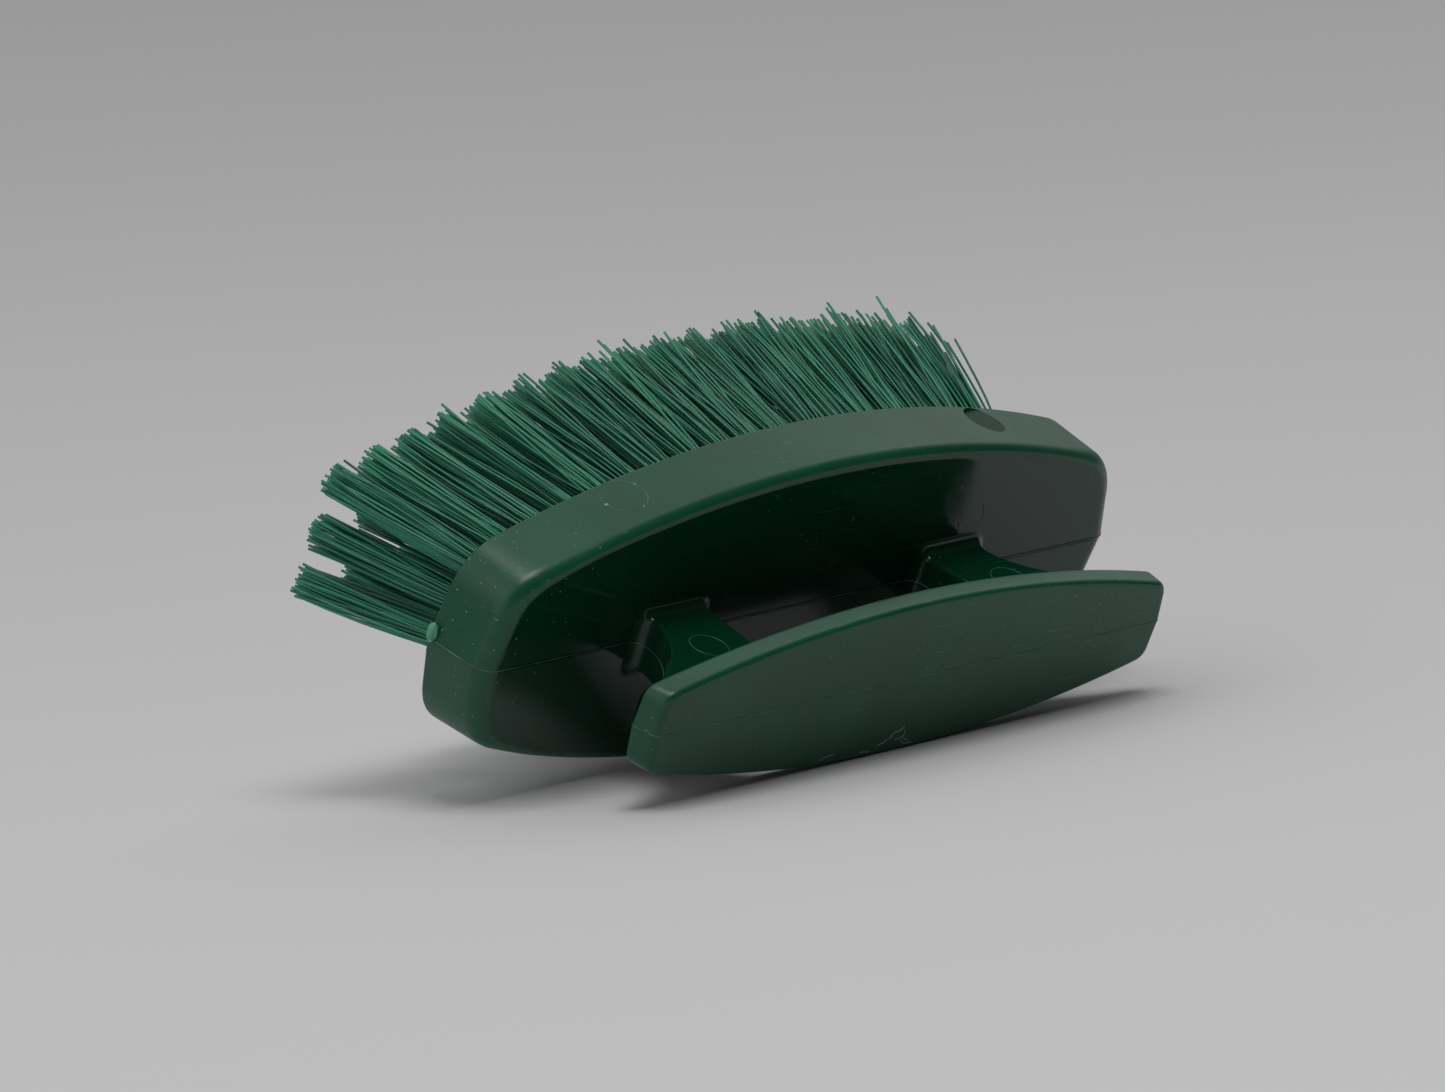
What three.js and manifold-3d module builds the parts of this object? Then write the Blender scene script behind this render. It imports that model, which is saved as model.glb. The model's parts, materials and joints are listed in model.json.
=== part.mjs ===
// A hand brush with a finger grip, in millimetres, +Z up.
//
// One moulding carries everything: a lens-shaped block, two posts and a grip plate.
// Tufts of filament stand in blind holes in the block.
//
// The brush is laid out in its own frame first: x along the length, y from the grip
// towards the bristle tips, z across the width. The near face of the block is y = 0.
// At the end it is tilted onto its resting edges and put on the ground at the origin.

import * as THREE from "three";
import { mergeVertices } from "three/addons/utils/BufferGeometryUtils.js";
import Module from "manifold-3d";

const wasm = await Module();
wasm.setup();

// ---------------------------------------------------------------- driving dimensions

// A plate's length and width are those of its face turned to the hand. "flare" is how much
// its half length and half width grow for each millimetre of height from that face.
const BLOCK = {
  length: 110,
  width: 38,
  sideRadius: 170,
  endSlope: THREE.MathUtils.degToRad(13),
  cornerLength: 4.5,
  thickness: 9.5,
  edgeRadius: 1.1,
  flare: { along: 0.045, across: 0.07 },
};

const GRIP = {
  length: 89,
  width: 21,
  sideRadius: 190,
  endSlope: THREE.MathUtils.degToRad(6.7),
  cornerLength: 1.6,
  thickness: 3.6,
  edgeRadius: 1.1,
  flare: { along: 0.24, across: -0.11 },
};

const FINGER_GAP = 15;

// Each post is given by distances from the middle of the brush. Its outer side sweeps out.
const POST = {
  inner: 19.4,
  innerAtGrip: 20.5,
  outer: 29.2,
  outerAtGrip: 43.5,
  sweepFrom: 8,
  thickness: 7,
  footSpread: 1.8,
  footHeight: 1.8,
  embed: 0.5,
};

const TUFT = {
  length: 21,
  holeDepth: 6.6,
  holeRadius: 1.9,
  rootRadius: 1.6,
  tipRadius: 2.75,
  clearance: 0.3,
  edgeMargin: 3.6,
  left: -49.3,
  right: 37.4,
  endLean: THREE.MathUtils.degToRad(20),
  sideLean: THREE.MathUtils.degToRad(8),
};

// Rows of tufts from the upper side to the lower side. "side" is the share of the way
// from the middle line (0) to the outer row (1), and "reach" the share of the length from
// TUFT.left to TUFT.right. The tufts fan out from x = 0 and lean by endLean at TUFT.left.
const ROWS = [
  { name: "upper", count: 18, side: 1, reach: 1 },
  { name: "upper_inner", count: 13, side: 0.4, reach: 1 },
  { name: "lower_inner", count: 12, side: -0.24, reach: 1 },
  { name: "lower", count: 8, side: -0.88, reach: 0.43 },
];

// An odd number of steps puts a flat facet, not a point, at the middle of each side.
const SIDE_STEPS = 15;
const CORNER_STEPS = 3;
const EDGE_STEPS = 2;
const ROUND_STEPS = 12;
const CURVE_STEPS = 6;
const TILT_ROUNDS = 6;

// ---------------------------------------------------------------- materials

function plastic(name, color, roughness) {
  return new THREE.MeshStandardMaterial({ name, color, roughness, metalness: 0 });
}

const bodyPlastic = plastic("body_plastic", 0x16402e, 0.35);
const tuftNylon = plastic("tuft_nylon", 0x2f7a62, 0.45);

// ---------------------------------------------------------------- solids

function toSolid(geometry) {
  const bare = geometry.index ? geometry.toNonIndexed() : geometry.clone();
  bare.deleteAttribute("normal");
  bare.deleteAttribute("uv");
  const merged = mergeVertices(bare, 1e-4);
  const mesh = new wasm.Mesh({
    numProp: 3,
    vertProperties: new Float32Array(merged.attributes.position.array),
    triVerts: new Uint32Array(merged.index.array),
  });
  return new wasm.Manifold(mesh);
}

function toGeometry(solid) {
  const mesh = solid.getMesh();
  const geometry = new THREE.BufferGeometry();
  geometry.setAttribute("position", new THREE.BufferAttribute(mesh.vertProperties, 3));
  geometry.setIndex(new THREE.BufferAttribute(mesh.triVerts, 1));
  geometry.computeVertexNormals();
  return geometry;
}

// How far a side has curved in from its widest point, at a distance x from the middle.
function sag(radius, x) {
  return radius - Math.sqrt(radius * radius - x * x);
}

// One quarter of a plate's outline, from the ridge on its end to the middle of its side.
// The end slopes back from the ridge, and the side is an arc about a point below.
function quarterOutline(plate) {
  const halfWidth = plate.width / 2;
  const ridge = new THREE.Vector2(plate.length / 2, 0);
  const slope = Math.tan(plate.endSlope);
  const corner = ridge.clone();
  for (let pass = 0; pass < 6; pass += 1) {
    corner.y = halfWidth - sag(plate.sideRadius, corner.x);
    corner.x = ridge.x - slope * corner.y;
  }
  const onEnd = corner.clone().lerp(ridge, plate.cornerLength / corner.distanceTo(ridge));
  const sideX = corner.x - plate.cornerLength;
  const onSide = new THREE.Vector2(sideX, halfWidth - sag(plate.sideRadius, sideX));
  const round = new THREE.QuadraticBezierCurve(onEnd, corner, onSide);
  return [ridge, ...round.getPoints(CORNER_STEPS)];
}

function plateShape(plate) {
  const quarter = quarterOutline(plate);
  const sideEnd = quarter[quarter.length - 1].x;
  const halfAngle = Math.asin(sideEnd / plate.sideRadius);
  const centre = plate.width / 2 - plate.sideRadius;
  const upright = Math.PI / 2;
  const side = new THREE.EllipseCurve(
    0, centre, plate.sideRadius, plate.sideRadius, upright - halfAngle, upright + halfAngle);
  const sidePoints = side.getPoints(SIDE_STEPS).slice(1, -1);
  const left = quarter.map((p) => new THREE.Vector2(-p.x, p.y)).reverse();
  const upper = [...quarter, ...sidePoints, ...left];
  const lower = upper.slice(1, -1).map((p) => new THREE.Vector2(p.x, -p.y)).reverse();
  return new THREE.Shape([...upper, ...lower]);
}

function applyFlare(geometry, plate) {
  const position = geometry.attributes.position;
  for (let i = 0; i < position.count; i += 1) {
    const height = position.getY(i);
    const alongScale = 1 + (plate.flare.along * height) / (plate.length / 2);
    const acrossScale = 1 + (plate.flare.across * height) / (plate.width / 2);
    position.setX(i, position.getX(i) * alongScale);
    position.setZ(i, position.getZ(i) * acrossScale);
  }
}

// A plate lying across y, from y = start upwards, with all its edges rounded.
function plateSolid(plate, start, thickness) {
  const geometry = new THREE.ExtrudeGeometry(plateShape(plate), {
    depth: thickness - 2 * plate.edgeRadius,
    bevelThickness: plate.edgeRadius,
    bevelSize: plate.edgeRadius,
    bevelOffset: -plate.edgeRadius,
    bevelSegments: EDGE_STEPS,
  });
  geometry.translate(0, 0, plate.edgeRadius);
  geometry.rotateX(-Math.PI / 2);
  applyFlare(geometry, plate);
  geometry.translate(0, start, 0);
  return toSolid(geometry);
}

// The block's bristle face has a crisp edge, so a thicker plate is cut off flat there.
function blockSolid() {
  const whole = plateSolid(BLOCK, 0, BLOCK.thickness + 2 * BLOCK.edgeRadius);
  const keep = new THREE.BoxGeometry(2 * BLOCK.length, BLOCK.thickness, 2 * BLOCK.width);
  keep.translate(0, BLOCK.thickness / 2, 0);
  return whole.intersect(toSolid(keep));
}

// A post is narrow by the block and sweeps out wide to the grip plate.
function postSolid(side) {
  const inner = side * POST.inner;
  const outer = side * POST.outer;
  const spread = side * POST.footSpread;
  const innerEnd = side * POST.innerAtGrip;
  const outerEnd = side * POST.outerAtGrip;
  const grip = -FINGER_GAP;
  const shape = new THREE.Shape();
  shape.moveTo(outer + spread, POST.embed);
  shape.lineTo(inner - spread, POST.embed);
  shape.lineTo(inner - spread, 0);
  shape.quadraticCurveTo(inner, 0, inner, -POST.footHeight);
  shape.lineTo(innerEnd, grip);
  shape.lineTo(innerEnd, grip - POST.embed);
  shape.lineTo(outerEnd, grip - POST.embed);
  shape.lineTo(outerEnd, grip);
  shape.quadraticCurveTo(outer, -POST.sweepFrom, outer, -POST.footHeight);
  shape.quadraticCurveTo(outer, 0, outer + spread, 0);
  const geometry = new THREE.ExtrudeGeometry(shape, {
    depth: POST.thickness,
    bevelEnabled: false,
    curveSegments: CURVE_STEPS,
  });
  geometry.translate(0, 0, -POST.thickness / 2);
  return toSolid(geometry);
}

// ---------------------------------------------------------------- tufts

// Every tuft's name, the point where it leaves the block, and the way it leans.
function tuftPlaces() {
  const places = [];
  const middle = (TUFT.left + TUFT.right) / 2;
  const halfLength = (TUFT.right - TUFT.left) / 2;
  const fan = Math.tan(TUFT.endLean) / Math.abs(TUFT.left);
  for (const row of ROWS) {
    for (let i = 0; i < row.count; i += 1) {
      const along = (2 * i) / (row.count - 1) - 1;
      const x = middle + along * row.reach * halfLength;
      const outer = BLOCK.width / 2 - TUFT.edgeMargin - sag(BLOCK.sideRadius, x);
      const lean = new THREE.Vector3(fan * x, 1, Math.tan(TUFT.sideLean) * row.side);
      places.push({
        name: `tuft_${row.name}_${String(i + 1).padStart(2, "0")}`,
        point: new THREE.Vector3(x, BLOCK.thickness, outer * row.side),
        direction: lean.normalize(),
      });
    }
  }
  return places;
}

function turnTo(direction) {
  return new THREE.Quaternion().setFromUnitVectors(new THREE.Vector3(0, 1, 0), direction);
}

function holeSolid(place) {
  const overshoot = 2;
  const length = TUFT.holeDepth + overshoot;
  const geometry = new THREE.CylinderGeometry(
    TUFT.holeRadius, TUFT.holeRadius, length, ROUND_STEPS);
  geometry.translate(0, overshoot - length / 2, 0);
  geometry.applyQuaternion(turnTo(place.direction));
  geometry.translate(place.point.x, place.point.y, place.point.z);
  return toSolid(geometry);
}

// A tuft is a bundle of filaments: round where it is held, spreading towards its tips.
function tuftGeometry() {
  const bottom = TUFT.clearance - TUFT.holeDepth;
  const profile = [
    new THREE.Vector2(0, bottom),
    new THREE.Vector2(TUFT.rootRadius, bottom),
    new THREE.Vector2(TUFT.rootRadius, TUFT.clearance),
    new THREE.Vector2(TUFT.tipRadius, TUFT.length),
    new THREE.Vector2(0, TUFT.length),
  ];
  return new THREE.LatheGeometry(profile, ROUND_STEPS);
}

function tuftMesh(place) {
  const mesh = new THREE.Mesh(tuftGeometry(), tuftNylon);
  mesh.name = place.name;
  mesh.position.copy(place.point);
  mesh.quaternion.copy(turnTo(place.direction));
  return mesh;
}

// ---------------------------------------------------------------- body

function bodyMesh(places) {
  let solid = blockSolid();
  solid = solid.add(plateSolid(GRIP, -FINGER_GAP - GRIP.thickness, GRIP.thickness));
  for (const side of [-1, 1]) {
    solid = solid.add(postSolid(side));
  }
  for (const place of places) {
    solid = solid.subtract(holeSolid(place));
  }
  const mesh = new THREE.Mesh(toGeometry(solid), bodyPlastic);
  mesh.name = "body";
  return mesh;
}

// ---------------------------------------------------------------- assembly

// The lowest of some points once they are tipped back about the x axis.
function lowest(points, tilt) {
  const height = (p) => p.y * Math.sin(tilt) + p.z * Math.cos(tilt);
  return points.reduce((low, p) => (height(p) < height(low) ? p : low));
}

// The brush lies on two edges, one of the block and one of the grip plate.
function restingTilt(body) {
  const position = body.geometry.getAttribute("position");
  const points = [];
  for (let i = 0; i < position.count; i += 1) {
    points.push(new THREE.Vector3().fromBufferAttribute(position, i));
  }
  const onBlock = points.filter((p) => p.y >= 0);
  const onGrip = points.filter((p) => p.y <= -FINGER_GAP);
  let tilt = 0;
  for (let round = 0; round < TILT_ROUNDS; round += 1) {
    const block = lowest(onBlock, tilt);
    const grip = lowest(onGrip, tilt);
    tilt = Math.atan2(grip.z - block.z, block.y - grip.y);
  }
  return tilt;
}

function buildBrush() {
  const tilted = new THREE.Group();
  const places = tuftPlaces();
  const body = bodyMesh(places);
  tilted.add(body);
  for (const place of places) {
    tilted.add(tuftMesh(place));
  }
  tilted.rotation.x = restingTilt(body);

  const brush = new THREE.Group();
  brush.add(tilted);
  brush.updateMatrixWorld(true);
  const box = new THREE.Box3().setFromObject(brush, true);
  const centre = box.getCenter(new THREE.Vector3());
  tilted.position.set(-centre.x, -centre.y, -box.min.z);
  return brush;
}

export default buildBrush();
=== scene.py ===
import json
import math

import bmesh
import bpy
import numpy as np
from mathutils import Matrix, Vector


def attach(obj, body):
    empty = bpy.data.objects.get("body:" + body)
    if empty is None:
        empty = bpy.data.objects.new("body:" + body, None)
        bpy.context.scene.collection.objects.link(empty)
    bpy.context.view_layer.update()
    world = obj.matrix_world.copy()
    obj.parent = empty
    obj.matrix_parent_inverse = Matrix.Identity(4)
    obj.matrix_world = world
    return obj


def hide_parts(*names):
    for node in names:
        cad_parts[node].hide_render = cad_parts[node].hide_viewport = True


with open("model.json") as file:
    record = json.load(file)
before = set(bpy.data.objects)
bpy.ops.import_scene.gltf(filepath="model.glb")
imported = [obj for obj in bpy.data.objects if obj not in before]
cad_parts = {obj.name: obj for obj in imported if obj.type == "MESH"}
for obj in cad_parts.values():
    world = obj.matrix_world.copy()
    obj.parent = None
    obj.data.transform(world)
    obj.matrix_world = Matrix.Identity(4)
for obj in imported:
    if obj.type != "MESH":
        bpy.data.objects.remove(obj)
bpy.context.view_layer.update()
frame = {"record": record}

# A hand brush with a finger grip: one moulding of a block, two posts and a grip plate, with
# nylon tufts. The design frame has x along the brush, y from the grip to the bristle tips and
# z across, and y = 0 is the block's face to the fingers. Lengths are in millimetres until they
# reach Blender.

MM = 0.001

# Both plates are lens-shaped with cut-off corners. "near" is the face with the lower y, and the
# flares are the slopes at which the ends and the sides lean outwards from it.
BLOCK = {
    "length": 110.0,
    "width": 38.0,
    "side_radius": 170.0,
    "end_slope": math.radians(13),
    "corner": 4.5,
    "thickness": 9.5,
    "near_round": 1.4,
    "far_round": 0.3,
    "end_growth": 0.8,
    "flare_along": 0.045,
    "flare_across": 0.07,
}
# The grip is a hair narrower than the CAD's 21, whose facets lie inside the true curve.
GRIP = {
    "length": 89.0,
    "width": 20.7,
    "side_radius": 190.0,
    "end_slope": math.radians(6.7),
    "corner": 1.6,
    "thickness": 3.6,
    "near_round": 0.8,
    "far_round": 0.6,
    "end_growth": 0.0,
    "flare_along": 0.24,
    "flare_across": -0.11,
}
GROWTH_START = 0.72  # share of the half length where near_round starts to grow by end_growth
FACE_INSET = 1.35  # how far in the flat faces start, in edge radii
FINGER_GAP = 15.0
SKIN = 0.004  # how far a post's ends stay above the faces that they run into
POST = {
    "inner": 19.4,
    "inner_at_grip": 20.5,
    "outer": 29.2,
    "outer_at_grip": 43.5,
    "sweep_from": 8.0,
    "thickness": 7.0,
    "corner": 0.6,
    "foot_round": 1.7,
    "head_round": 1.0,
}
SHARP_ANGLE = math.radians(28)

# What the mould leaves: ejector marks, thin ridges of flash, and small drops of plastic.
SIDE_RING = {"x": -31.3, "y": 6.3, "radius": 2.9}
SIDE_FLAT = {"x": 32.4, "y": 6.4, "radius": 2.8, "depth": 0.16}
POST_RING = {"x": 26.5, "y": -8.4, "radius": 2.4}
FACE_RING = {"x": 26.9, "z": 7.2, "radius": 2.1}
PARTING_RIDGE = 0.06
RING_RIDGE = 0.05
POST_RING_RIDGE = 0.04
# Name, place, size, seed.
GATE_NUB = ("gate_nub", (-55.5, 8.8, 0.9), (1.3, 1.3, 2.4), 3)
FLASH_NUBS = [
    ("flash_nub_block", (55.6, 3.2, 0.0), (0.5, 1.0, 0.5), 5),
    ("flash_nub_grip", (-44.7, -17.0, 0.0), (0.6, 1.3, 0.6), 8),
]
# Name, place round the ring in degrees, size, seed.
RING_NUBS = [
    ("ring_nub_left", 185, (0.6, 0.5, 0.25), 9),
    ("ring_nub_right", 20, (0.4, 0.4, 0.2), 9),
    ("ring_nub_near", -75, (0.35, 0.35, 0.2), 2),
]
# Fibres of dust near the lower edge of the grip, each a path of short steps.
LINT = {
    "count": 7,
    "x": (-14.0, 4.0),
    "above_edge": (1.0, 2.6),
    "radius": 0.035,
    "steps": 24,
    "step": 0.11,
    "lift": 0.02,
}

# The rows run along x a margin inside the block's sides, and the tufts fan out to both ends.
TUFT_LENGTH = 21.0
TUFT_LEFT = -49.3
TUFT_RIGHT = 37.4
TUFT_MARGIN = 3.6
END_LEAN = math.radians(20)
SIDE_LEAN = math.radians(8)
HOLE_RADIUS = 1.9
HOLE_DEPTH = 6.6
# Name, tufts, place across as a share of the way to the side, share of the full row's length.
ROWS = [
    ("upper", 18, 1.0, 1.0),
    ("upper_inner", 13, 0.4, 1.0),
    ("lower_inner", 12, -0.24, 1.0),
    ("lower", 8, -0.88, 0.43),
]
ANCHOR = {"radius": 0.22, "above_bottom": 0.5, "turn": 0.6, "points": (-1.7, -0.6, 0.6, 1.7)}

# The filaments of one tuft. Each scatter is a standard deviation.
FILAMENTS = 76
FILAMENT_RADIUS = 0.155
FILAMENT_STEPS = (-0.26, 0.0, 0.2, 0.4, 0.6, 0.8, 1.0)  # shares of the length, from in the hole
ROOT_RADIUS = 1.62
ROOT_SCATTER = 0.05
TIP_RADIUS = 2.6
TIP_SCATTER = 0.55
BOW_SCATTER = 0.22
TRIM = 0.25  # how much the average filament falls short of the tuft's length
LENGTH_SCATTER = 0.3
STRAY_SHARE = 0.06
STRAY_SCATTER = 1.7
STRAY_LIMIT = 2.4
STRAY_LENGTH = (-0.5, 0.7)
TUFT_WANDER = 0.020
SHADE_SCATTER = 0.12
# The lower rows and the tufts at the left end spread less, so gaps show between them.
TIGHT_SPREAD = 0.72
TIGHT_BEFORE = 0.75 * TUFT_LEFT
# Two filaments stand clear of the last tuft, with these offsets of their tips and lengths. The
# others in it are shorter by a share for each millimetre outwards.
LOOSE_TUFT = "tuft_upper_18"
LOOSE_FILAMENTS = ((4.5, 18.6), (6.0, 19.3))
LOOSE_ROOT = 0.9 * ROOT_RADIUS
LOOSE_ACROSS = 0.4
LOOSE_TAPER = 0.05

# The studio, in metres, watts and radians, with the lens and the sensor in millimetres. A light
# is its name, place, size and power.
FLOOR_HALF = 6.0
LIGHT_TARGET = (0, 0, 0.02)
LIGHTS = [
    ("softbox_top", (-0.14, -0.31, 1.13), (0.6, 0.6), 5.8),
    ("fill_left", (-1.15, -0.10, 0.45), (0.9, 1.5), 2.3),
]
CAMERA = {
    "azimuth": math.radians(-46.67),
    "elevation": math.radians(8.84),
    "roll": math.radians(-3.04),
    "distance": 1.5517,
    "target": (-0.00381, 0.00045, 0.02404),
    "lens": 324.93,
    "sensor": 36.0,
}

# The record's first mount is the grip's outer face. It says where the design frame lies in the
# row's frame.
grip_mount = frame["record"]["mounts"][0]
tilt = math.atan2(-grip_mount["axis"][2], -grip_mount["axis"][1])
grip_height = (FINGER_GAP + GRIP["thickness"]) * MM
TO_ROW = (
    Matrix.Translation(grip_mount["pos_m"])
    @ Matrix.Rotation(tilt, 4, "X")
    @ Matrix.Translation((0, grip_height, 0))
)


# ---------------------------------------------------------------- node materials


class Nodes:
    """Short calls for building the node tree of a material or a world."""

    def __init__(self, owner):
        owner.use_nodes = True
        self.owner = owner
        self.tree = owner.node_tree

    def add(self, kind, **settings):
        node = self.tree.nodes.new(kind)
        for key, value in settings.items():
            setattr(node, key, value)
        return node

    def link(self, source, target):
        self.tree.links.new(source, target)

    def put(self, socket, value):
        """Links a socket to another one, or sets it to a plain value."""
        if isinstance(value, bpy.types.NodeSocket):
            self.link(value, socket)
        else:
            socket.default_value = value

    def shader(self, name, value):
        self.put(self.tree.nodes["Principled BSDF"].inputs[name], value)

    def coords(self):
        """Positions in the design frame, in metres."""
        node = self.add("ShaderNodeMapping")
        self.link(self.add("ShaderNodeTexCoord").outputs["Object"], node.inputs["Vector"])
        to_design = TO_ROW.inverted()
        node.inputs["Location"].default_value = to_design.translation
        node.inputs["Rotation"].default_value = to_design.to_euler()
        return node.outputs["Vector"]

    def noise(self, coords, scale, detail=4.0, roughness=0.5):
        node = self.add("ShaderNodeTexNoise")
        self.link(coords, node.inputs["Vector"])
        node.inputs["Scale"].default_value = scale
        node.inputs["Detail"].default_value = detail
        node.inputs["Roughness"].default_value = roughness
        return node.outputs["Fac"]

    def stretch(self, coords, scale, turn=(0, 0, 0)):
        node = self.add("ShaderNodeMapping")
        self.link(coords, node.inputs["Vector"])
        node.inputs["Rotation"].default_value = turn
        node.inputs["Scale"].default_value = scale
        return node.outputs["Vector"]

    def ramp(self, value, low, high, out_low=0.0, out_high=1.0):
        node = self.add("ShaderNodeMapRange", interpolation_type="SMOOTHSTEP")
        self.put(node.inputs["Value"], value)
        node.inputs["From Min"].default_value = low
        node.inputs["From Max"].default_value = high
        node.inputs["To Min"].default_value = out_low
        node.inputs["To Max"].default_value = out_high
        return node.outputs["Result"]

    def math(self, operation, a, b=0.0):
        node = self.add("ShaderNodeMath", operation=operation)
        self.put(node.inputs[0], a)
        self.put(node.inputs[1], b)
        return node.outputs[0]

    def mix(self, factor, a, b):
        node = self.add("ShaderNodeMix", data_type="RGBA")
        self.put(node.inputs["Factor"], factor)
        self.put(node.inputs["A"], a)
        self.put(node.inputs["B"], b)
        return node.outputs["Result"]

    def axes(self, coords):
        node = self.add("ShaderNodeSeparateXYZ")
        self.link(coords, node.inputs[0])
        return node.outputs["X"], node.outputs["Y"], node.outputs["Z"]

    def bump(self, height, strength, distance, normal=None):
        node = self.add("ShaderNodeBump")
        node.inputs["Strength"].default_value = strength
        node.inputs["Distance"].default_value = distance
        self.put(node.inputs["Height"], height)
        if normal is not None:
            self.link(normal, node.inputs["Normal"])
        return node.outputs["Normal"]


def new_material(name):
    return Nodes(bpy.data.materials.new(name))


def outer_mask(n, y):
    """0 in the finger gap and 1 outside it, changing just past the faces on both its sides."""
    half_gap = FINGER_GAP / 2 * MM
    from_middle = n.math("ABSOLUTE", n.math("ADD", y, half_gap))
    return n.ramp(from_middle, half_gap + 0.00002, half_gap + 0.00022)


def pin_mask(n, x, y, z):
    """1 on the flat that an ejector pin left in the upper long side, and 0 elsewhere."""
    along = n.math("POWER", n.math("SUBTRACT", x, SIDE_FLAT["x"] * MM), 2.0)
    up = n.math("POWER", n.math("SUBTRACT", y, SIDE_FLAT["y"] * MM), 2.0)
    distance = n.math("SQRT", n.math("ADD", along, up))
    edge = SIDE_FLAT["radius"] * MM
    inside = n.ramp(distance, edge - 0.00015, edge, 1.0, 0.0)
    upper_side = n.ramp(z, 0.009, 0.010)
    return n.math("MULTIPLY", inside, upper_side)


def dust_mask(n, at):
    """Sparse specks, gathered in patches."""
    cells = n.add("ShaderNodeTexVoronoi", feature="F1")
    n.link(at, cells.inputs["Vector"])
    cells.inputs["Scale"].default_value = 760.0
    specks = n.ramp(cells.outputs["Distance"], 0.04, 0.11, 1.0, 0.0)
    patches = n.ramp(n.noise(at, 45.0), 0.42, 0.60)
    return n.math("MULTIPLY", specks, patches)


def scratch_mask(n, at, outer):
    """Short fine lines in two directions, in patches, and fainter in the finger gap."""
    turns = ((0.3, 0.2, 0.6), (0.1, 0.9, -0.5))
    grain = [n.noise(n.stretch(at, (140, 3000, 3000), turn), 1.0, detail=1.0) for turn in turns]
    lines = n.ramp(n.math("MAXIMUM", *grain), 0.74, 0.79)
    patches = n.ramp(n.noise(at, 38.0), 0.38, 0.60)
    exposed = n.ramp(outer, 0.0, 1.0, 0.3, 1.0)
    return n.math("MULTIPLY", n.math("MULTIPLY", lines, patches), exposed)


def body_colour(n, at, outside_painted_shade, dust, scratches):
    """Dark green and clouded, darkened by painted shade in the finger gap and on the ejector pin's
    flat and paler elsewhere, under pale dust and scratches.
    """
    cloud = n.ramp(n.noise(at, 60.0, detail=3.0), 0.3, 0.7)
    clouded = n.mix(cloud, (0.004, 0.066, 0.033, 1.0), (0.006, 0.086, 0.045, 1.0))
    # Painted shade: the deep green darkens the finger gap and the ejector pin's flat.
    colour = n.mix(outside_painted_shade, (0.002, 0.036, 0.018, 1.0), clouded)
    colour = n.mix(n.math("MULTIPLY", dust, 0.75), colour, (0.26, 0.34, 0.29, 1.0))
    return n.mix(n.math("MULTIPLY", scratches, 0.5), colour, (0.18, 0.30, 0.24, 1.0))


def body_roughness(n, at, outer, pin, marks):
    """Glossy with faint smears in the finger gap, and satin where it is handled or marked."""
    smear = n.ramp(n.noise(at, 90.0, detail=6.0, roughness=0.6), 0.35, 0.75, 0.09, 0.16)
    rough = n.math("ADD", smear, n.math("MULTIPLY", outer, 0.20))
    rough = n.math("ADD", rough, n.math("MULTIPLY", pin, 0.25))
    return n.math("ADD", rough, n.math("MULTIPLY", marks, 0.25))


def body_normal(n, at, scratches):
    """The mould's fine grain, slight waves from shrinkage, and shallow scratches."""
    grain = n.bump(n.noise(at, 350.0, detail=2.0), 0.10, 0.00004)
    waves = n.bump(n.noise(at, 28.0, detail=1.0), 0.25, 0.0002, grain)
    return n.bump(n.math("SUBTRACT", 1.0, scratches), 0.15, 0.00002, waves)


def body_material():
    """Dark green moulded polypropylene, darkened by painted shade in the finger gap and paler
    outside it.
    """
    n = new_material("body_green")
    at = n.coords()
    x, y, z = n.axes(at)
    outer = outer_mask(n, y)
    pin = pin_mask(n, x, y, z)
    dust = dust_mask(n, at)
    scratches = scratch_mask(n, at, outer)
    marks = n.math("MAXIMUM", scratches, dust)
    # This mask is 0 where painted shade darkens the colour, in the finger gap and on the ejector
    # pin's flat.
    outside_painted_shade = n.math("SUBTRACT", outer, pin)
    n.shader("Base Color", body_colour(n, at, outside_painted_shade, dust, scratches))
    n.shader("Roughness", body_roughness(n, at, outer, pin, marks))
    n.shader("Normal", body_normal(n, at, scratches))
    n.shader("IOR", 1.45)
    return n.owner


def filament_material():
    """Green nylon with streaks along it. Each filament carries its own random tone in the mesh,
    spread wide so that the pale filaments are partly painted highlights and the dark ones partly
    painted shade in the gaps.
    """
    n = new_material("filament_green")
    shade = n.add("ShaderNodeAttribute", attribute_name="shade").outputs["Fac"]
    streak = n.noise(n.stretch(n.coords(), (900, 60, 900)), 1.0, detail=2.0)
    # Random tone per filament, partly painted highlights at its pale end and painted shade at its
    # dark end.
    tone_with_painted_highlights = n.math("MULTIPLY", n.math("ADD", shade, streak), 0.55)
    n.shader("Base Color", n.mix(tone_with_painted_highlights, (0.002, 0.060, 0.036, 1.0), (0.044, 0.330, 0.200, 1.0)))
    n.shader("Roughness", n.ramp(streak, 0.3, 0.7, 0.28, 0.42))
    n.shader("IOR", 1.46)
    return n.owner


def flash_material():
    """Flash along the parting line and the ejector marks, a little paler than the body."""
    n = new_material("flash_green")
    patches = n.ramp(n.noise(n.coords(), 220.0, detail=3.0), 0.40, 0.62)
    n.shader("Base Color", n.mix(patches, (0.012, 0.10, 0.06, 1), (0.06, 0.25, 0.16, 1)))
    n.shader("Roughness", 0.3)
    return n.owner


def gate_material():
    """Plastic that was torn or squeezed thin, paler than the rest."""
    n = new_material("gate_green")
    grain = n.noise(n.coords(), 1500.0, detail=3.0)
    n.shader("Base Color", n.mix(grain, (0.05, 0.25, 0.14, 1.0), (0.16, 0.46, 0.30, 1.0)))
    n.shader("Normal", n.bump(grain, 0.6, 0.0001))
    n.shader("Roughness", 0.55)
    return n.owner


def lint_material():
    """Pale dust fibres."""
    n = new_material("lint_white")
    grain = n.noise(n.coords(), 900.0)
    n.shader("Base Color", n.mix(grain, (0.35, 0.37, 0.35, 1), (0.75, 0.77, 0.75, 1)))
    n.shader("Roughness", 0.9)
    return n.owner


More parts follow.
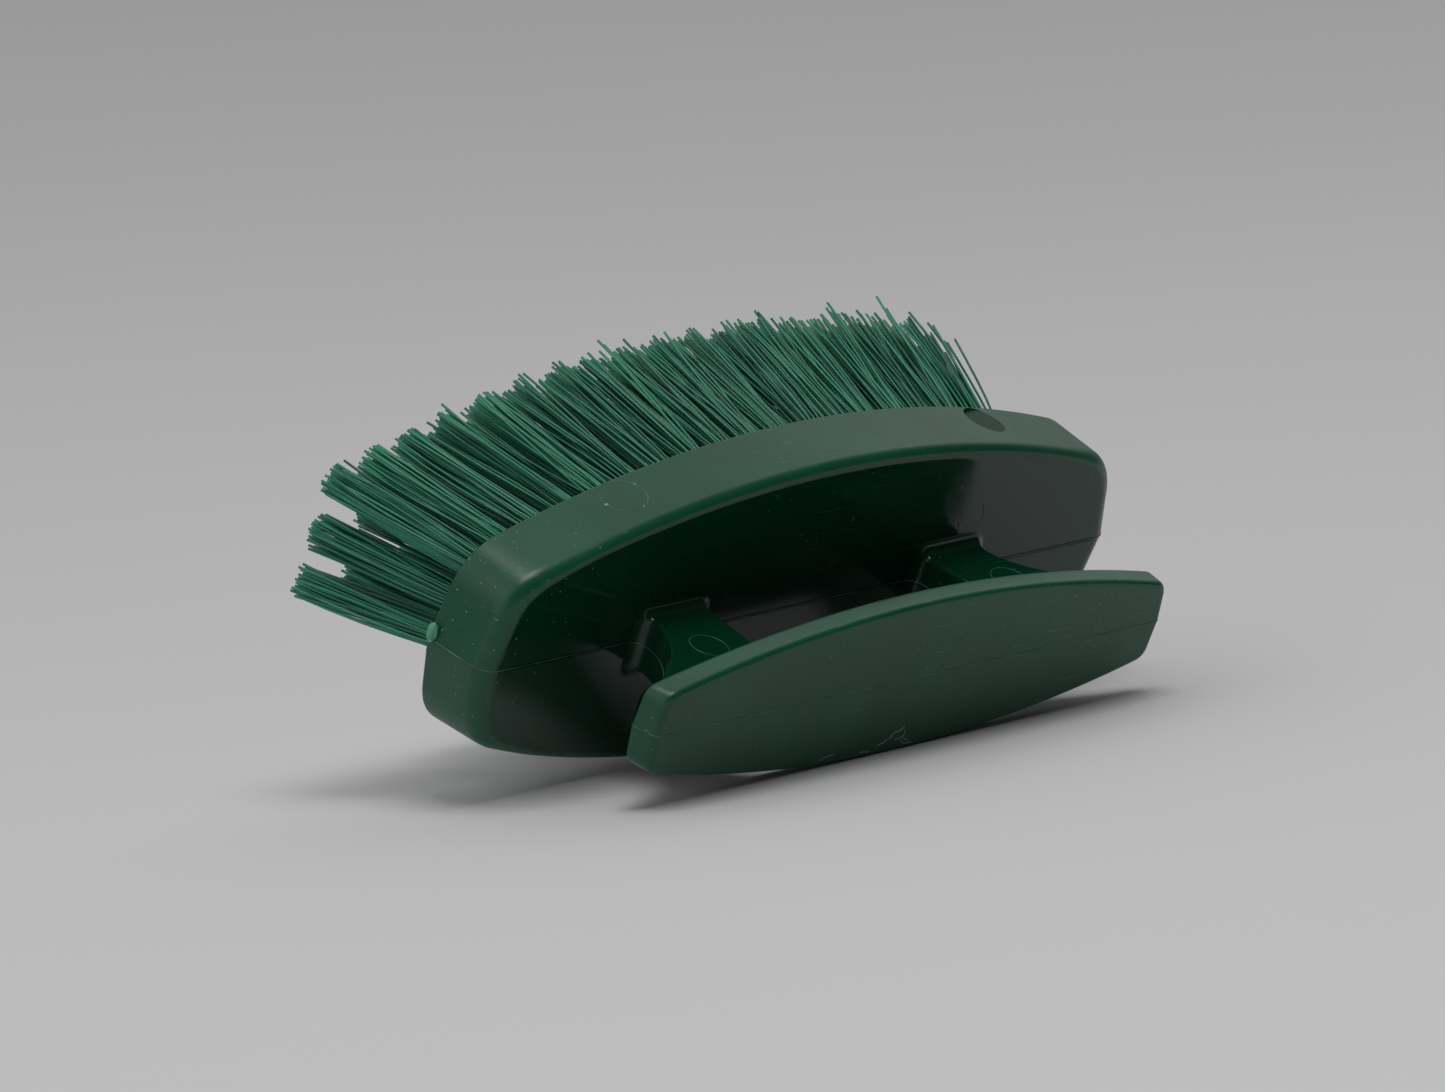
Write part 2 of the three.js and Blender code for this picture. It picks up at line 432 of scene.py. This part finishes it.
def anchor_material():
    """Nickel-plated anchor wire."""
    n = new_material("anchor_metal")
    grain = n.noise(n.coords(), 2500.0)
    n.shader("Base Color", n.mix(grain, (0.45, 0.42, 0.36, 1), (0.62, 0.58, 0.50, 1)))
    n.shader("Metallic", 1.0)
    n.shader("Roughness", n.ramp(grain, 0.3, 0.7, 0.25, 0.45))
    return n.owner


def floor_material():
    """A matt pale grey, a little uneven."""
    n = new_material("studio_floor")
    uneven = n.noise(n.coords(), 3.0)
    n.shader("Base Color", n.mix(uneven, (0.62, 0.62, 0.62, 1.0), (0.66, 0.66, 0.66, 1.0)))
    n.shader("Roughness", 0.8)
    n.shader("Specular IOR Level", 0.1)
    return n.owner


# ---------------------------------------------------------------- mesh helpers


def new_object(name, vertices, faces, material):
    """A mesh object from points in the design frame, in millimetres."""
    mesh = bpy.data.meshes.new(name)
    mesh.from_pydata([TO_ROW @ (Vector(v) * MM) for v in vertices], [], faces)
    mesh.update()
    return show_mesh(mesh, material)


def show_mesh(mesh, material):
    """Puts a finished mesh in the scene as an object of the same name."""
    obj = bpy.data.objects.new(mesh.name, mesh)
    bpy.context.scene.collection.objects.link(obj)
    mesh.materials.append(material)
    return obj


def fix_normals(obj):
    bm = bmesh.new()
    bm.from_mesh(obj.data)
    bmesh.ops.recalc_face_normals(bm, faces=bm.faces)
    bm.to_mesh(obj.data)
    bm.free()


def apply_modifiers(obj):
    bpy.context.view_layer.update()
    graph = bpy.context.evaluated_depsgraph_get()
    mesh = bpy.data.meshes.new_from_object(obj.evaluated_get(graph))
    obj.modifiers.clear()
    obj.data = mesh


def shade_smooth(obj):
    """Smooth shading, with creases kept and the normals weighted by face area."""
    obj.data.polygons.foreach_set("use_smooth", [True] * len(obj.data.polygons))
    obj.data.set_sharp_from_angle(angle=SHARP_ANGLE)
    modifier = obj.modifiers.new("weighted", "WEIGHTED_NORMAL")
    modifier.keep_sharp = True
    apply_modifiers(obj)


def ring_mesh(name, rings, material, capped):
    """Joins rings of points into a skin, closed with flat ends if it is capped."""
    count = len(rings[0])
    vertices = [point for ring in rings for point in ring]
    faces = []
    for ring in range(len(rings) - 1):
        for i in range(count):
            a = ring * count + i
            b = ring * count + (i + 1) % count
            faces.append((a, b, b + count, a + count))
    if capped:
        faces.append(tuple(reversed(range(count))))
        last = (len(rings) - 1) * count
        faces.append(tuple(range(last, last + count)))
    obj = new_object(name, vertices, faces, material)
    fix_normals(obj)
    return obj


def cutter(point, direction, radius, length, sides):
    """A cylinder whose middle is at a point and whose axis follows a direction."""
    turn = Vector((0, 1, 0)).rotation_difference(direction)
    vertices = []
    for end in (-0.5, 0.5):
        for i in range(sides):
            angle = 2 * math.pi * i / sides
            local = Vector((radius * math.cos(angle), end * length, radius * math.sin(angle)))
            vertices.append(turn @ local + point)
    faces = [tuple(range(sides)), tuple(reversed(range(sides, 2 * sides)))]
    for i in range(sides):
        j = (i + 1) % sides
        faces.append((i, i + sides, j + sides, j))
    return vertices, faces


def cut_away(obj, shapes):
    """Cuts several separate solids out of obj in one boolean."""
    vertices, faces = [], []
    for shape_vertices, shape_faces in shapes:
        base = len(vertices)
        vertices += shape_vertices
        faces += [tuple(base + i for i in face) for face in shape_faces]
    tool = new_object("cutting_tool", vertices, faces, obj.data.materials[0])
    fix_normals(tool)
    modifier = obj.modifiers.new("cut", "BOOLEAN")
    modifier.operation = "DIFFERENCE"
    modifier.solver = "EXACT"
    modifier.object = tool
    apply_modifiers(obj)
    bpy.data.objects.remove(tool)


def tube_points(lines, radius, sides):
    """A ring of points round each point of each centre line."""
    along = np.gradient(lines, axis=1)
    along /= np.linalg.norm(along, axis=2, keepdims=True)
    across = np.cross(along, np.array([0.0, 0.0, 1.0]))
    across /= np.linalg.norm(across, axis=2, keepdims=True)
    third = np.cross(along, across)
    turn = np.arange(sides) * 2 * math.pi / sides
    ring = np.cos(turn)[:, None] * across[:, :, None, :]
    ring = ring + np.sin(turn)[:, None] * third[:, :, None, :]
    return lines[:, :, None, :] + ring * radius


def tube_faces(tubes, steps, sides):
    """The quads of all the tubes' walls, and the polygons of their far ends."""
    start = np.arange(tubes)[:, None, None] * steps * sides
    level = np.arange(steps - 1)[None, :, None] * sides
    side = np.arange(sides)[None, None, :]
    a = start + level + side
    b = start + level + (side + 1) % sides
    quads = np.stack([a, b, b + sides, a + sides], axis=-1).reshape(-1, 4)
    ends = start[:, 0, :] + (steps - 1) * sides + np.arange(sides)[None, :]
    return quads[:, ::-1].tolist(), ends[:, ::-1].tolist()


def tube_mesh(name, lines, radius, shades, sides=6):
    """One mesh of many round tubes with flat far ends, each along its own centre line."""
    tubes, steps, _ = lines.shape
    points = tube_points(lines, radius, sides).reshape(-1, 3) * MM
    quads, ends = tube_faces(tubes, steps, sides)
    mesh = bpy.data.meshes.new(name)
    mesh.from_pydata(points.tolist(), [], quads + ends)
    shade = mesh.attributes.new("shade", "FLOAT", "POINT")
    shade.data.foreach_set("value", np.repeat(shades, steps * sides).astype(np.float32))
    mesh.polygons.foreach_set("use_smooth", [True] * len(quads) + [False] * len(ends))
    mesh.update()
    return mesh


def ridge(name, path, radius, material):
    """A thin raised line along a path."""
    mesh = tube_mesh(name, np.array([path], dtype=float), radius, np.zeros(1))
    mesh.transform(TO_ROW)
    return show_mesh(mesh, material)


def blob(name, centre, size, seed, material):
    """A small lumpy drop of plastic."""
    lumpiness = 0.045
    waves = np.random.default_rng(seed).normal(0, 2.6, (5, 3))
    bm = bmesh.new()
    bmesh.ops.create_icosphere(bm, subdivisions=4, radius=0.5)
    for vertex in bm.verts:
        lump = sum(math.sin(vertex.co.dot(Vector(w)) * 2 + k) for k, w in enumerate(waves))
        vertex.co *= 1 + lumpiness * lump
        vertex.co = Vector(c + s * v for c, s, v in zip(centre, size, vertex.co))
        vertex.co = TO_ROW @ (vertex.co * MM)
    mesh = bpy.data.meshes.new(name)
    bm.to_mesh(mesh)
    bm.free()
    mesh.polygons.foreach_set("use_smooth", [True] * len(mesh.polygons))
    return show_mesh(mesh, material)


# ---------------------------------------------------------------- block and grip plates


def sag(radius, x):
    """How far an arc of a radius has fallen away from its top, at a distance x from it."""
    return radius - math.sqrt(radius * radius - x * x)


def smoothstep(value, low, high):
    share = min(max((value - low) / (high - low), 0.0), 1.0)
    return share * share * (3 - 2 * share)


def plate_corner(plate):
    """Where a plate's sloped end meets its curved side, found by stepping between the two."""
    half = plate["width"] / 2
    corner = Vector((plate["length"] / 2, 0))
    for _ in range(6):
        corner.y = half - sag(plate["side_radius"], corner.x)
        corner.x = plate["length"] / 2 - math.tan(plate["end_slope"]) * corner.y
    return corner


def plate_outline(plate):
    """Points (x, z) round a plate's near face, anticlockwise from the ridge of its right end."""
    end_steps, corner_steps, side_steps = 12, 10, 96
    half = plate["width"] / 2
    end = Vector((plate["length"] / 2, 0))
    corner = plate_corner(plate)
    on_end = corner.lerp(end, plate["corner"] / (corner - end).length)
    side_x = corner.x - plate["corner"]
    on_side = Vector((side_x, half - sag(plate["side_radius"], side_x)))
    quarter = [end.lerp(on_end, i / end_steps) for i in range(end_steps)]
    for i in range(corner_steps + 1):
        t = i / corner_steps
        quarter.append(on_end * (1 - t) ** 2 + corner * 2 * t * (1 - t) + on_side * t * t)
    side = []
    for i in range(1, side_steps):
        x = side_x * (1 - 2 * i / side_steps)
        side.append(Vector((x, half - sag(plate["side_radius"], x))))
    left = [Vector((-p.x, p.y)) for p in reversed(quarter)]
    upper = quarter + side + left
    lower = [Vector((p.x, -p.y)) for p in reversed(upper[1:-1])]
    return upper + lower


def outline_normals(points):
    """Inward unit normals of a closed anticlockwise outline."""
    normals = []
    for i in range(len(points)):
        along = (points[(i + 1) % len(points)] - points[i - 1]).normalized()
        normals.append(Vector((-along.y, along.x)))
    return normals


def round_profile(steps):
    """(height, inset) pairs of a quarter round of radius 1, from the face to the wall."""
    pairs = []
    for i in range(steps + 1):
        angle = 0.5 * math.pi * i / steps
        pairs.append((1 - math.cos(angle), 1 - math.sin(angle)))
    return pairs


def plate_ring(plate, outline, normals, part, height, inset=0.0):
    """One ring of a plate's surface.

    In the "near" and "far" parts, height and inset are in radii of that edge, from its own face.
    In the "wall" part, height is a share of the straight wall between the two edges.
    """
    half = plate["length"] / 2
    far_radius = plate["far_round"]
    top = plate["thickness"] - far_radius
    ring = []
    for p, normal in zip(outline, normals):
        grown = 1 + plate["end_growth"] * smoothstep(abs(p.x), GROWTH_START * half, half)
        near_radius = plate["near_round"] * grown
        if part == "near":
            y, inwards = height * near_radius, inset * near_radius
        elif part == "far":
            y, inwards = plate["thickness"] - height * far_radius, inset * far_radius
        else:
            y, inwards = near_radius + (top - near_radius) * height, 0.0
        along = 1 + plate["flare_along"] * y / half
        across = 1 + plate["flare_across"] * y / (plate["width"] / 2)
        moved = p + normal * inwards
        ring.append((moved.x * along, y, moved.y * across))
    return ring


def plate_rings(plate, start):
    """The rings of points that make a plate with rounded edges, its near face first."""
    sections = [("near", 0.0, FACE_INSET)]
    sections += [("near", *pair) for pair in round_profile(8)]
    sections += [("wall", share) for share in (0.25, 0.5, 0.75)]
    sections += [("far", *pair) for pair in reversed(round_profile(5))]
    sections.append(("far", 0.0, FACE_INSET))
    outline = plate_outline(plate)
    normals = outline_normals(outline)
    rings = [plate_ring(plate, outline, normals, *section) for section in sections]
    return [[(x, start + y, z) for x, y, z in ring] for ring in rings]


def block_half_width(x, y):
    """Half the block's width at a point of its long side."""
    half = BLOCK["width"] / 2
    return (half - sag(BLOCK["side_radius"], x)) * (1 + BLOCK["flare_across"] * y / half)


# ---------------------------------------------------------------- posts


def fillet(distance, radius):
    """How far a fillet stands out from a wall, at a distance from the face it runs into."""
    if distance >= radius:
        return 0.0
    gap = radius - max(distance, 0.0)
    return radius - math.sqrt(radius * radius - gap * gap)


def post_sides(depth):
    """Distances of a post's inner and outer sides from the middle, at a depth below the block."""
    start = POST["foot_round"]
    share = max(depth - start, 0.0) / (FINGER_GAP - start)
    inner = POST["inner"] + (POST["inner_at_grip"] - POST["inner"]) * share
    outer = POST["outer"]
    if depth > start:
        # The outer side is a quadratic curve. Its depth is a t^2 + b t + start at parameter t.
        a = start - 2 * POST["sweep_from"] + FINGER_GAP
        b = 2 * (POST["sweep_from"] - start)
        c = start - depth
        t = -2 * c / (b + math.sqrt(b * b - 4 * a * c))
        outer += (POST["outer_at_grip"] - POST["outer"]) * t * t
    return inner, outer


def post_section(inner, outer, grow):
    """Points (x, z) of a rounded rectangle between two sides, grown outwards all round."""
    corner_steps = 6
    corner = POST["corner"]
    half_width = (outer - inner) / 2 - corner
    half_thickness = POST["thickness"] / 2 - corner
    middle = (inner + outer) / 2
    points = []
    for quadrant, (sign_x, sign_z) in enumerate(((1, 1), (-1, 1), (-1, -1), (1, -1))):
        centre_x = middle + half_width * sign_x
        centre_z = half_thickness * sign_z
        for i in range(corner_steps + 1):
            angle = 0.5 * math.pi * (quadrant + i / corner_steps)
            x = centre_x + (corner + grow) * math.cos(angle)
            points.append((x, centre_z + (corner + grow) * math.sin(angle)))
    return points


def post_levels():
    """(depth below the block, spread of the section) down a post, with fillets at both ends."""
    overlap = 0.5
    foot, head = POST["foot_round"], POST["head_round"]
    quarter = [1 - math.cos(0.5 * math.pi * i / 9) for i in range(10)]
    depths = [foot * q for q in quarter]
    depths += list(np.linspace(foot, FINGER_GAP - head, 30)[1:-1])
    depths += [FINGER_GAP - head * q for q in reversed(quarter)]
    levels = [(d, fillet(d, foot) + fillet(FINGER_GAP - d, head)) for d in depths]
    return [(0.0, foot + overlap), *levels, (FINGER_GAP, head + overlap)]


def post_mesh(name, side, material):
    """The skin of one post, open at both ends, where it runs into the block and the grip."""
    rings = []
    for depth, grow in post_levels():
        height = -min(max(depth, SKIN), FINGER_GAP - SKIN)
        section = post_section(*post_sides(depth), grow)
        rings.append([(side * x, height, z) for x, z in section])
    return ring_mesh(name, rings, material, capped=False)


# ---------------------------------------------------------------- tufts


def tuft_places():
    """Every tuft's CAD node, the point where it leaves the block, and its direction."""
    places = []
    middle = (TUFT_LEFT + TUFT_RIGHT) / 2
    half_length = (TUFT_RIGHT - TUFT_LEFT) / 2
    fan = math.tan(END_LEAN) / abs(TUFT_LEFT)
    for row, count, side, reach in ROWS:
        for i in range(count):
            along = 2 * i / (count - 1) - 1
            x = middle + along * reach * half_length
            outer = BLOCK["width"] / 2 - TUFT_MARGIN - sag(BLOCK["side_radius"], x)
            lean = Vector((fan * x, 1, math.tan(SIDE_LEAN) * side))
            point = Vector((x, BLOCK["thickness"], outer * side))
            places.append((f"tuft_{row}_{i + 1:02d}", point, lean.normalized()))
    return places


def tuft_holes():
    """Cutters for the blind holes, which start a little above the block."""
    shapes = []
    overshoot = 1.5
    for _, point, direction in tuft_places():
        middle = point + direction * (overshoot - HOLE_DEPTH) / 2
        shapes.append(cutter(middle, direction, HOLE_RADIUS, HOLE_DEPTH + overshoot, 28))
    return shapes


def filament_lines(rng, spread):
    """Centre lines of one tuft's filaments, along +y from the block's face at y = 0."""
    index = np.arange(FILAMENTS)
    radius = np.sqrt((index + 0.5) / FILAMENTS)
    angle = index * math.pi * (3 - math.sqrt(5)) + rng.uniform(0, 2 * math.pi)
    root = np.stack([np.cos(angle), np.sin(angle)], axis=1) * radius[:, None]
    root += rng.normal(0, ROOT_SCATTER, root.shape)
    # At the tips the filaments have changed places a little, and a few have strayed.
    tip = root * TIP_RADIUS * spread + rng.normal(0, TIP_SCATTER * spread, root.shape)
    stray = rng.random(FILAMENTS) < STRAY_SHARE
    wander = rng.normal(0, STRAY_SCATTER, (stray.sum(), 2))
    tip[stray] += np.clip(wander, -STRAY_LIMIT, STRAY_LIMIT) * spread
    length = TUFT_LENGTH - TRIM + rng.normal(0, LENGTH_SCATTER, FILAMENTS)
    length[stray] += rng.uniform(*STRAY_LENGTH, stray.sum())
    bow = rng.normal(0, BOW_SCATTER, (FILAMENTS, 2))
    curl = rng.normal(0, BOW_SCATTER, (FILAMENTS, 2))
    lines = np.zeros((FILAMENTS, len(FILAMENT_STEPS), 3))
    for k, share in enumerate(FILAMENT_STEPS):
        above = max(share, 0.0)
        side = root * ROOT_RADIUS * (1 - above) + tip * above
        side += bow * math.sin(math.pi * above) + curl * math.sin(2 * math.pi * above) * 0.5
        lines[:, k, 0] = side[:, 0]
        lines[:, k, 2] = side[:, 1]
        lines[:, k, 1] = share * length
    return lines


def loosen_last(lines):
    """Shortens the outer filaments of the last tuft and stands two of them clear of it."""
    outward = np.clip(lines[:, -1, 0], 0.0, None)
    lines[:, 1:, 1] *= (1 - LOOSE_TAPER * outward)[:, None]
    shares = np.linspace(0.0, 1.0, lines.shape[1] - 1)
    for line, (offset, length) in zip(lines, LOOSE_FILAMENTS):
        line[1:, 0] = LOOSE_ROOT + (offset - LOOSE_ROOT) * np.sqrt(shares)
        line[1:, 1] = length * shares
        line[1:, 2] = LOOSE_ACROSS


def add_tuft(place, rng, material):
    """One tuft of separate filaments, in place of its CAD node."""
    node, point, direction = place
    # Random tone for each filament, spread wide so the pale ones are partly painted highlights and
    # the dark ones partly painted shade.
    shades = np.clip(rng.beta(0.8, 1.0, FILAMENTS) + rng.normal(0, SHADE_SCATTER), 0, 1)
    tight = point.x < TIGHT_BEFORE or node.startswith("tuft_lower")
    lines = filament_lines(rng, TIGHT_SPREAD if tight else 1.0)
    if node == LOOSE_TUFT:
        loosen_last(lines)
    mesh = tube_mesh(f"{node}_filaments", lines, FILAMENT_RADIUS, shades)
    wander = Vector((rng.normal(0, TUFT_WANDER), 0, rng.normal(0, TUFT_WANDER)))
    turn = Vector((0, 1, 0)).rotation_difference(direction + wander).to_matrix().to_4x4()
    mesh.transform(TO_ROW @ Matrix.Translation(point * MM) @ turn)
    obj = show_mesh(mesh, material)
    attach(obj, "root")
    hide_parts(node)


def add_anchors(material):
    """The wires that hold the tufts down at the bottoms of their holes."""
    across = Vector((math.cos(ANCHOR["turn"]), 0, math.sin(ANCHOR["turn"])))
    lines = []
    for _, point, direction in tuft_places():
        bottom = point - direction * (HOLE_DEPTH - ANCHOR["above_bottom"])
        lines.append([tuple(bottom + across * t) for t in ANCHOR["points"]])
    shades = np.zeros(len(lines))
    mesh = tube_mesh("tuft_anchors", np.array(lines), ANCHOR["radius"], shades, sides=8)
    mesh.transform(TO_ROW)
    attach(show_mesh(mesh, material), "root")


# ---------------------------------------------------------------- moulding


def circle(x, y, radius):
    """Points round a circle, closed."""
    steps = 48
    turns = [2 * math.pi * i / steps for i in range(steps + 1)]
    return [(x + radius * math.cos(turn), y + radius * math.sin(turn)) for turn in turns]


def side_flat():
    """What an ejector pin cut off where it ran into the curve of the upper long side."""
    length = 4.0
    x, y = SIDE_FLAT["x"], SIDE_FLAT["y"]
    flat = block_half_width(x, y) - SIDE_FLAT["depth"]
    middle = Vector((x, y, flat + length / 2))
    return cutter(middle, Vector((0, 0, 1)), SIDE_FLAT["radius"], length, 64)


def ejector_rings(material):
    """Thin rings of flash round the ejector marks on the block's side, the posts and the face."""
    around = circle(SIDE_RING["x"], SIDE_RING["y"], SIDE_RING["radius"])
    path = [(x, y, block_half_width(x, y)) for x, y in around]
    pieces = [ridge("ejector_ring_block", path, RING_RIDGE, material)]
    for side, name in ((-1, "left"), (1, "right")):
        around = circle(side * POST_RING["x"], POST_RING["y"], POST_RING["radius"])
        path = [(x, y, POST["thickness"] / 2) for x, y in around]
        pieces.append(ridge(f"ejector_ring_post_{name}", path, POST_RING_RIDGE, material))
    around = circle(FACE_RING["x"], FACE_RING["z"], FACE_RING["radius"])
    path = [(x, 0.0, z) for x, z in around]
    pieces.append(ridge("ejector_ring_face", path, RING_RIDGE, material))
    return pieces


def parting_lines(plates):
    """Where the parting plane z = 0 cuts the surface: round both plates and down the posts."""
    paths = []
    for rings in plates:
        left = len(rings[0]) // 2
        loop = [ring[0] for ring in rings] + [ring[left] for ring in reversed(rings)]
        paths.append(loop + [loop[0]])
    for side in (-1, 1):
        for which, outwards in ((0, -1), (1, 1)):
            path = []
            for depth, grow in post_levels():
                x = post_sides(depth)[which] + outwards * grow
                path.append((side * x, -depth, 0.0))
            paths.append(path)
    return paths


def ring_nub(name, degrees, size, seed, material):
    """A speck of flash on the ring of the block's side."""
    angle = math.radians(degrees)
    x = SIDE_RING["x"] + SIDE_RING["radius"] * math.cos(angle)
    y = SIDE_RING["y"] + SIDE_RING["radius"] * math.sin(angle)
    return blob(name, (x, y, block_half_width(x, y)), size, seed, material)


def mould_details(plates, material):
    """Everything small that the mould left on the surface."""
    flash = flash_material()
    pieces = ejector_rings(flash)
    for i, path in enumerate(parting_lines(plates)):
        pieces.append(ridge(f"parting_line_{i + 1}", path, PARTING_RIDGE, flash))
    pale = gate_material()
    pieces.append(blob(*GATE_NUB, pale))
    for nub in FLASH_NUBS:
        pieces.append(blob(*nub, material))
    for nub in RING_NUBS:
        pieces.append(ring_nub(*nub, pale))
    return pieces


def build_body(material):
    """The block with its holes, the grip, the posts, and what the mould left on them."""
    block_rings = plate_rings(BLOCK, 0.0)
    grip_rings = plate_rings(GRIP, -FINGER_GAP - GRIP["thickness"])
    block = ring_mesh("brush_block", block_rings, material, capped=True)
    cut_away(block, [*tuft_holes(), side_flat()])
    grip = ring_mesh("grip_plate", grip_rings, material, capped=True)
    solids = [block, grip]
    solids.append(post_mesh("post_left", -1, material))
    solids.append(post_mesh("post_right", 1, material))
    for piece in solids:
        shade_smooth(piece)
    for piece in solids + mould_details([block_rings, grip_rings], material):
        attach(piece, "root")
    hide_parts("body")


def lint_path(rng):
    """A curled fibre on the grip's outer face, never nearer than a margin to its lower edge."""
    face = -FINGER_GAP - GRIP["thickness"] - 0.03
    x = rng.uniform(*LINT["x"])
    z = rng.uniform(*LINT["above_edge"]) - GRIP["width"] / 2
    heading = rng.uniform(-0.1, 0.6)
    path = []
    for step in range(LINT["steps"]):
        edge = sag(GRIP["side_radius"], x) - GRIP["width"] / 2
        z = max(z, edge + LINT["above_edge"][0])
        path.append((x, face - LINT["lift"] * (step % 3), z))
        heading = 0.92 * heading + rng.normal(0.02, 0.25)
        x += LINT["step"] * math.cos(heading)
        z += LINT["step"] * math.sin(heading)
    return path


def add_lint(rng, material):
    for i in range(LINT["count"]):
        lint = ridge(f"lint_{i + 1}", lint_path(rng), LINT["radius"], material)
        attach(lint, "root")


# ---------------------------------------------------------------- studio


def add_light(name, place, size, power):
    light = bpy.data.lights.new(name, "AREA")
    light.shape = "RECTANGLE"
    light.size, light.size_y = size
    light.energy = power
    obj = bpy.data.objects.new(name, light)
    bpy.context.scene.collection.objects.link(obj)
    obj.location = place
    to_target = Vector(LIGHT_TARGET) - Vector(place)
    obj.rotation_euler = to_target.to_track_quat("-Z", "Y").to_euler()


def add_camera():
    """A long lens, looking down a little from the front left."""
    azimuth, elevation = CAMERA["azimuth"], CAMERA["elevation"]
    away = Vector((
        math.sin(azimuth) * math.cos(elevation),
        -math.cos(azimuth) * math.cos(elevation),
        math.sin(elevation),
    ))
    data = bpy.data.cameras.new("camera")
    data.lens = CAMERA["lens"]
    data.sensor_width = CAMERA["sensor"]
    data.clip_end = 50.0
    obj = bpy.data.objects.new("camera", data)
    bpy.context.scene.collection.objects.link(obj)
    facing = (-away).to_track_quat("-Z", "Y").to_matrix().to_4x4()
    place = Matrix.Translation(Vector(CAMERA["target"]) + away * CAMERA["distance"])
    obj.matrix_world = place @ facing @ Matrix.Rotation(CAMERA["roll"], 4, "Z")
    bpy.context.scene.camera = obj


def add_floor():
    half = FLOOR_HALF
    mesh = bpy.data.meshes.new("floor")
    corners = [(-half, -half, 0), (half, -half, 0), (half, half, 0), (-half, half, 0)]
    mesh.from_pydata(corners, [], [(0, 1, 2, 3)])
    show_mesh(mesh, floor_material())


def studio_world():
    """A pale surround, brightest overhead, that falls off to dark behind the camera."""
    n = Nodes(bpy.data.worlds.new("studio"))
    _, y, z = n.axes(n.add("ShaderNodeTexCoord").outputs["Generated"])
    fade = n.ramp(y, -0.30, 0.25, 0.05, 1.0)
    rise = n.ramp(z, 0.15, 0.65, 0.27, 0.72)
    background = n.tree.nodes["Background"]
    background.inputs["Color"].default_value = (1.0, 1.0, 1.0, 1.0)
    n.put(background.inputs["Strength"], n.math("MULTIPLY", fade, rise))
    return n.owner


def add_studio():
    add_floor()
    bpy.context.scene.world = studio_world()
    bpy.context.scene.view_settings.view_transform = "Standard"
    for light in LIGHTS:
        add_light(*light)
    add_camera()


def main():
    build_body(body_material())
    rng = np.random.default_rng(7)
    nylon = filament_material()
    for place in tuft_places():
        add_tuft(place, rng, nylon)
    add_anchors(anchor_material())
    add_lint(rng, lint_material())
    add_studio()


main()
